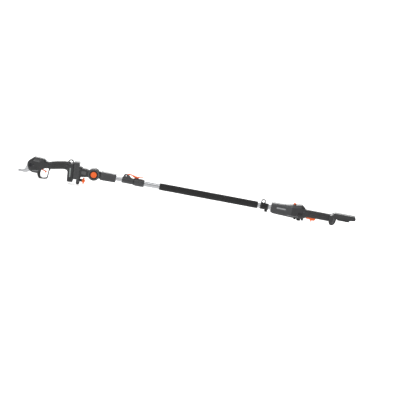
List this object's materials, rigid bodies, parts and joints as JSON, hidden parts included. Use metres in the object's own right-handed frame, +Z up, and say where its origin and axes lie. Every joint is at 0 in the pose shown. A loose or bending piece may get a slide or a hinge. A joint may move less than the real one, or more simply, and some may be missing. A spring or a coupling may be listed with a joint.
{
  "type": "telescoping pole pruner",
  "caption": "Battery pole pruner: curved shear head with finger guard on an indexed angle joint, telescopic tube with cam clamp, long foam grip, rear control grip with empty battery bay.",
  "frame": {"origin": "middle of the bounding box footprint, at the level of its lowest point, the finger guard", "axes": "+X along the pole from the blades to the hand grip, +Z up with the triggers below, -Y the side with the angle button"},
  "size_m": [1.812, 0.0644, 0.1302],
  "materials": {
    "dark_housing": "fine moulded grain",
    "black_plastic": "fine moulded grain",
    "orange_plastic": "satin",
    "soft_grip": "soft matte overmould",
    "foam": "closed-cell foam",
    "pad_rubber": "matte",
    "pole_aluminium": "satin anodised",
    "blade_steel": "ground",
    "fastener_steel": "black oxide",
    "bright_steel": "turned",
    "internal_metal": "plain",
    "circuit_board": "solder mask",
    "indicator": "translucent window"
  },
  "bodies": {
    "rear_pole": {"outer_tube": "pole_aluminium", "foam_grip": "foam", "clamp_body": "dark_housing", "clamp_collar": "dark_housing", "clamp_shoe": "black_plastic", "lever_pin": "bright_steel", "rear_shell_left": "dark_housing", "rear_shell_right": "dark_housing", "rear_shell_screws": "fastener_steel", "rear_grip_sleeve": "soft_grip", "rear_trigger_spring": "internal_metal", "rear_switch": "black_plastic", "lock_button_spring": "internal_metal", "rear_control_board": "circuit_board", "battery_rails": "black_plastic", "battery_contacts": "black_plastic", "rest_pads": "pad_rubber"},
    "front_pole": {"inner_tube": "pole_aluminium", "inner_guide_bush": "black_plastic", "coupling_sleeve": "dark_housing", "sleeve_screws": "fastener_steel", "hub_lower": "dark_housing", "hub_axle": "internal_metal", "hub_back_cap": "black_plastic", "angle_button_spring": "internal_metal"},
    "angle_lock": {"angle_button": "orange_plastic", "lock_gear": "internal_metal"},
    "tool_mount": {"hub_upper": "dark_housing", "adapter_back_shell": "dark_housing", "adapter_front_plate": "dark_housing", "adapter_contacts": "black_plastic", "adapter_screws": "fastener_steel"},
    "lock_knob": {"adapter_lock_knob": "orange_plastic"},
    "pruner": {"pruner_grip_sleeve": "soft_grip", "pruner_nose_cap": "dark_housing", "pruner_shell_left": "dark_housing", "pruner_shell_right": "dark_housing", "pruner_shell_screws": "fastener_steel", "finger_guard": "dark_housing", "charge_indicator": "indicator", "hanging_loop": "black_plastic", "hook_blade": "blade_steel", "blade_pivot_bolt": "fastener_steel", "screw_bearing": "internal_metal", "gearbox": "internal_metal", "drive_motor": "internal_metal", "pruner_control_board": "circuit_board", "pruner_trigger_spring": "internal_metal", "pruner_switch": "black_plastic", "pruner_rail_block": "black_plastic"},
    "blade": {"cutting_blade": "blade_steel"},
    "drive_nut_body": {"drive_nut": "internal_metal"},
    "drive_screw_body": {"drive_screw": "internal_metal"},
    "pruner_trigger_body": {"pruner_trigger": "orange_plastic"},
    "lever": {"clamp_lever": "orange_plastic"},
    "rear_trigger_body": {"rear_trigger": "orange_plastic"},
    "lock_button_body": {"lock_button": "orange_plastic"},
    "harness_mount": {"harness_collar": "black_plastic", "harness_eye": "black_plastic"},
    "harness_thumb_screw": {"harness_screw": "black_plastic"}
  },
  "joints": [
    {"name": "telescope", "type": "slide", "parent": "rear_pole", "child": "front_pole", "axis": [-1, 0, 0], "range_m": [0, 0.58]},
    {"name": "head_angle", "type": "hinge", "parent": "front_pole", "child": "tool_mount", "pos_m": [-0.499, 0, 0.074], "axis": [0, 1, 0], "range_deg": [-75, 75]},
    {"name": "angle_button_push", "type": "slide", "parent": "front_pole", "child": "angle_lock", "axis": [0, 1, 0], "range_m": [0, 0.006], "stiffness_N_per_m": 700, "springref_m": -0.004, "deforming": ["angle_button_spring"]},
    {"name": "lock_knob_turn", "type": "hinge", "parent": "tool_mount", "child": "lock_knob", "pos_m": [-0.556, 0, 0.029], "axis": [1, 0, 0], "range_deg": [0, 90]},
    {"name": "tool_release", "type": "slide", "parent": "tool_mount", "child": "pruner", "axis": [-0.0872, 0, 0.9962], "range_m": [0, 0.1]},
    {"name": "blade_open", "type": "hinge", "parent": "pruner", "child": "blade", "pos_m": [-0.8375, 0, 0.065], "axis": [0, 1, 0], "range_deg": [0, 34]},
    {"name": "drive_nut_travel", "type": "slide", "parent": "pruner", "child": "drive_nut_body", "axis": [1, 0, 0], "range_m": [0, 0.00886]},
    {"name": "drive_screw_turn", "type": "hinge", "parent": "pruner", "child": "drive_screw_body", "pos_m": [-0.81, 0, 0.079], "axis": [1, 0, 0], "range_deg": [0, 1550]},
    {"name": "pruner_trigger_pull", "type": "hinge", "parent": "pruner", "child": "pruner_trigger_body", "pos_m": [-0.775, 0, 0.052], "axis": [0, -1, 0], "range_deg": [0, 13], "stiffness_Nm_per_rad": 0.08, "springref_deg": -17.19, "deforming": ["pruner_trigger_spring"]},
    {"name": "clamp_lever_open", "type": "hinge", "parent": "rear_pole", "child": "lever", "pos_m": [-0.329, 0, 0.1], "axis": [0, -1, 0], "range_deg": [0, 115]},
    {"name": "rear_trigger_pull", "type": "hinge", "parent": "rear_pole", "child": "rear_trigger_body", "pos_m": [0.653, 0, 0.063], "axis": [0, -1, 0], "range_deg": [0, 7], "stiffness_Nm_per_rad": 0.6, "springref_deg": -11.46, "deforming": ["rear_trigger_spring"]},
    {"name": "lock_button_push", "type": "slide", "parent": "rear_pole", "child": "lock_button_body", "axis": [0, 0, -1], "range_m": [0, 0.0035], "stiffness_N_per_m": 500, "springref_m": -0.003, "deforming": ["lock_button_spring"]},
    {"name": "harness_slide", "type": "slide", "parent": "rear_pole", "child": "harness_mount", "axis": [1, 0, 0], "range_m": [-0.012, 0.011]},
    {"name": "harness_screw_turn", "type": "hinge", "parent": "harness_mount", "child": "harness_thumb_screw", "pos_m": [0.43, 0, 0.054], "axis": [0, 0, 1], "range_deg": [0, 360]}
  ],
  "couplings": [
    {"joint": "drive_nut_travel", "follows": "blade_open", "m_per_rad": 0.014426},
    {"joint": "drive_screw_turn", "follows": "blade_open", "ratio": 45.32}
  ]
}
